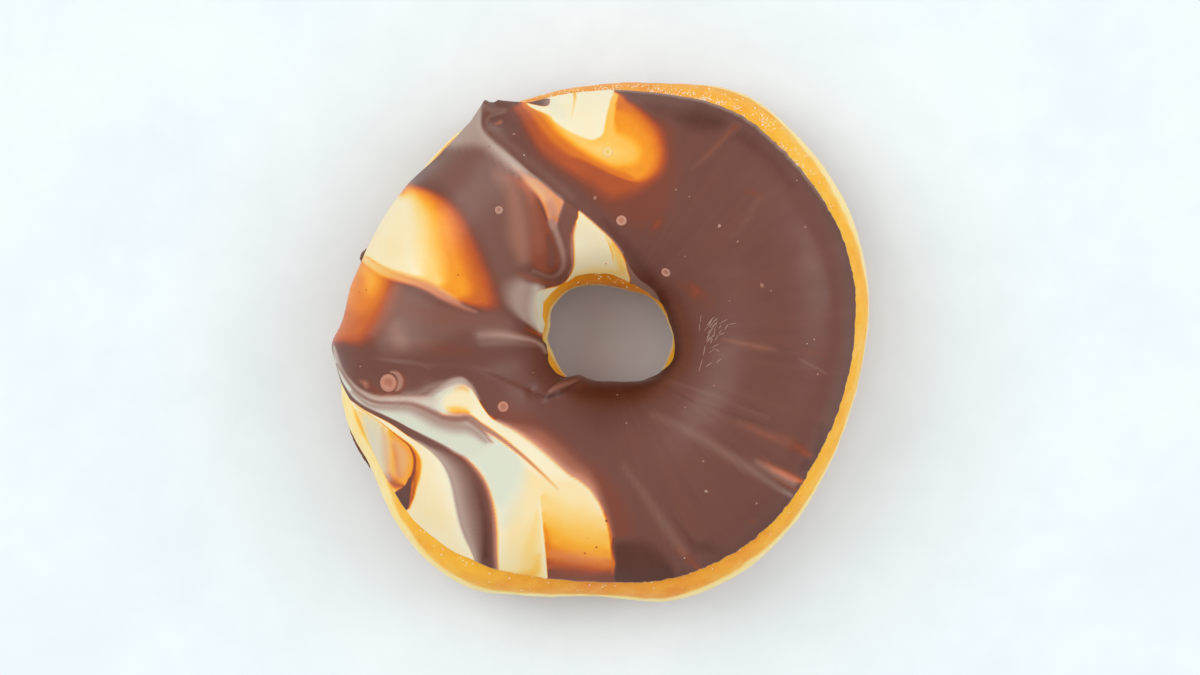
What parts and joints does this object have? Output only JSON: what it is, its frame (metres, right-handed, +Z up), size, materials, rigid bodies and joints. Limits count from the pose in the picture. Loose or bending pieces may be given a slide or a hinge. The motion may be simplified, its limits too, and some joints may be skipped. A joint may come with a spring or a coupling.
{
  "type": "ring doughnut",
  "caption": "Ring doughnut of fried dough lying flat, its top dipped in smooth marbled milk and white chocolate icing that is drawn into soft folds and hangs lower on one side.",
  "frame": {"origin": "under the middle of the whole outline, on the surface that the doughnut lies on", "axes": "+Z up out of the iced face; seen from above, +X is to the right and +Y away, and the icing hangs lowest towards -X"},
  "size_m": [0.0912, 0.0876, 0.0316],
  "materials": {
    "crust": "fried dough, golden and slightly greasy, paler in a band round its waist",
    "icing": "set chocolate icing with a soft sheen, milk chocolate marbled with white"
  },
  "bodies": {
    "root": {"dough": "crust", "icing": "icing", "icing_smear": "icing", "icing_drop": "icing"}
  },
  "joints": []
}
